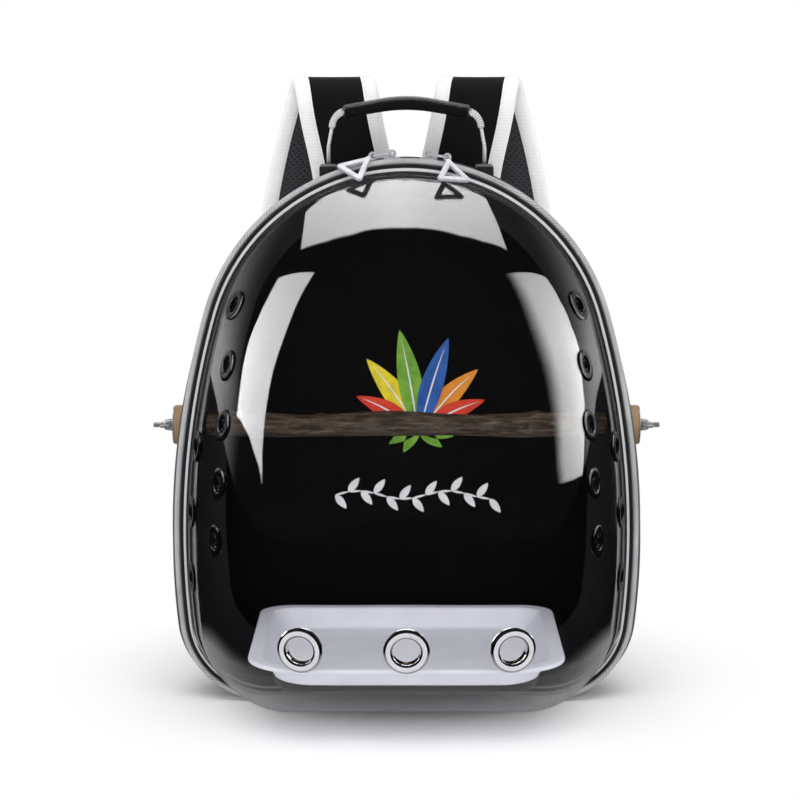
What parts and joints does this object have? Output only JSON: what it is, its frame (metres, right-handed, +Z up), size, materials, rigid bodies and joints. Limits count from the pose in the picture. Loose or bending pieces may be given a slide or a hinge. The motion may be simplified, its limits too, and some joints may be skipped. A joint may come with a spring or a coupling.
{
  "type": "bird travel carrier backpack",
  "caption": "Bird travel carrier worn as a backpack: clear domed shell that hinges open on a zip, padded body, wooden perch, lift-out tray, vents, carrying handle and shoulder straps.",
  "frame": {"origin": "middle of the flat underside of the padded body, on the ground", "axes": "+Z up, -Y out through the clear shell, +Y towards the wearer's back, +X to the right seen from the shell side"},
  "size_m": [0.374, 0.2902, 0.4549],
  "materials": {
    "clear_shell": "clear, gloss",
    "grommet_metal": "polished",
    "black_binding": "woven",
    "grey_piping": "twill",
    "zip_tape": "woven",
    "zip_teeth": "moulded",
    "black_fabric": "woven",
    "panel_fabric": "smooth",
    "mesh_fabric": "open mesh",
    "board_plastic": "matt",
    "perch_wood": "natural branch",
    "steel": "zinc plated",
    "spacer_rubber": "matt",
    "seat_fibre": "matt",
    "grip_leather": "fine grain",
    "black_webbing": "woven",
    "grey_webbing": "woven",
    "tray_plastic": "satin",
    "light_binding": "stitched",
    "black_plastic": "satin",
    "pull_metal": "plated"
  },
  "bodies": {
    "carrier": {"gusset": "black_fabric", "rear_zip_tape": "zip_tape", "rear_zip_teeth": "zip_teeth", "hinge_strip": "black_binding", "back_panel": "panel_fabric", "back_piping": "grey_piping", "back_pad": "mesh_fabric", "floor_board": "board_plastic", "floor_mat": "black_fabric", "perch": "perch_wood", "perch_bolts": "steel", "perch_spacers": "spacer_rubber", "seat_washers": "seat_fibre", "steel_washers": "steel", "handle_tabs": "grip_leather", "strap_yoke": "black_fabric", "strap_left": "black_fabric", "strap_binding_left": "light_binding", "lock_loop_left": "black_webbing", "ladder_lock_left": "black_plastic", "lower_webbing_left": "black_webbing", "anchor_tab_left": "black_fabric", "strap_right": "black_fabric", "strap_binding_right": "light_binding", "lock_loop_right": "black_webbing", "ladder_lock_right": "black_plastic", "lower_webbing_right": "black_webbing", "anchor_tab_right": "black_fabric"},
    "shell_door": {"front_shell": "clear_shell", "front_grommets": "grommet_metal", "front_grommet_washers": "grommet_metal", "vent_eyelets": "grommet_metal", "vent_eyelet_washers": "grommet_metal", "shell_binding": "black_binding", "shell_piping": "grey_piping", "front_zip_tape": "zip_tape", "front_zip_teeth": "zip_teeth"},
    "handle": {"handle_webbing": "grey_webbing", "handle_grip": "grip_leather", "handle_cuffs": "grey_webbing"},
    "feeding_tray": {"tray": "tray_plastic"},
    "slider_left": {"slider_left": "pull_metal"},
    "pull_link_left": {"pull_link_left": "pull_metal"},
    "pull_tab_left": {"pull_tab_left": "pull_metal"},
    "wing_nut_left": {"wing_nut_left": "steel"},
    "slider_right": {"slider_right": "pull_metal"},
    "pull_link_right": {"pull_link_right": "pull_metal"},
    "pull_tab_right": {"pull_tab_right": "pull_metal"},
    "wing_nut_right": {"wing_nut_right": "steel"}
  },
  "joints": [
    {"name": "door_hinge", "type": "hinge", "parent": "carrier", "child": "shell_door", "pos_m": [0, -0.0377, 0.0003], "axis": [1, 0, 0], "range_deg": [0, 95]},
    {"name": "handle_fold", "type": "hinge", "parent": "carrier", "child": "handle", "pos_m": [0, 0, 0.4051], "axis": [-1, 0, 0], "range_deg": [-50, 25]},
    {"name": "tray_lift", "type": "slide", "parent": "carrier", "child": "feeding_tray", "axis": [0, 0, 1], "range_m": [0, 0.07]},
    {"name": "slider_left_run", "type": "hinge", "parent": "shell_door", "child": "slider_left", "pos_m": [0, -0.0377, 0.24744], "axis": [0, -1, 0], "range_deg": [0, 60]},
    {"name": "pull_link_left_swing", "type": "hinge", "parent": "slider_left", "child": "pull_link_left", "pos_m": [-0.0103, -0.0377, 0.40231], "axis": [-0.3665, 0.9304, 0], "range_deg": [0, 80]},
    {"name": "pull_tab_left_swing", "type": "hinge", "parent": "pull_link_left", "child": "pull_tab_left", "pos_m": [-0.02421, -0.04318, 0.40105], "axis": [-0.3665, 0.9304, 0], "range_deg": [0, 100]},
    {"name": "wing_nut_left_spin", "type": "hinge", "parent": "carrier", "child": "wing_nut_left", "pos_m": [-0.176, -0.01, 0.201], "axis": [-1, 0, 0], "continuous": true},
    {"name": "slider_right_run", "type": "hinge", "parent": "shell_door", "child": "slider_right", "pos_m": [0, -0.0377, 0.24744], "axis": [0, 1, 0], "range_deg": [0, 60]},
    {"name": "pull_link_right_swing", "type": "hinge", "parent": "slider_right", "child": "pull_link_right", "pos_m": [0.0159, -0.0377, 0.40183], "axis": [-0.4617, -0.887, 0], "range_deg": [0, 80]},
    {"name": "pull_tab_right_swing", "type": "hinge", "parent": "pull_link_right", "child": "pull_tab_right", "pos_m": [0.02913, -0.04458, 0.40019], "axis": [-0.4617, -0.887, 0], "range_deg": [0, 100]},
    {"name": "wing_nut_right_spin", "type": "hinge", "parent": "carrier", "child": "wing_nut_right", "pos_m": [0.176, -0.01, 0.201], "axis": [1, 0, 0], "continuous": true}
  ]
}
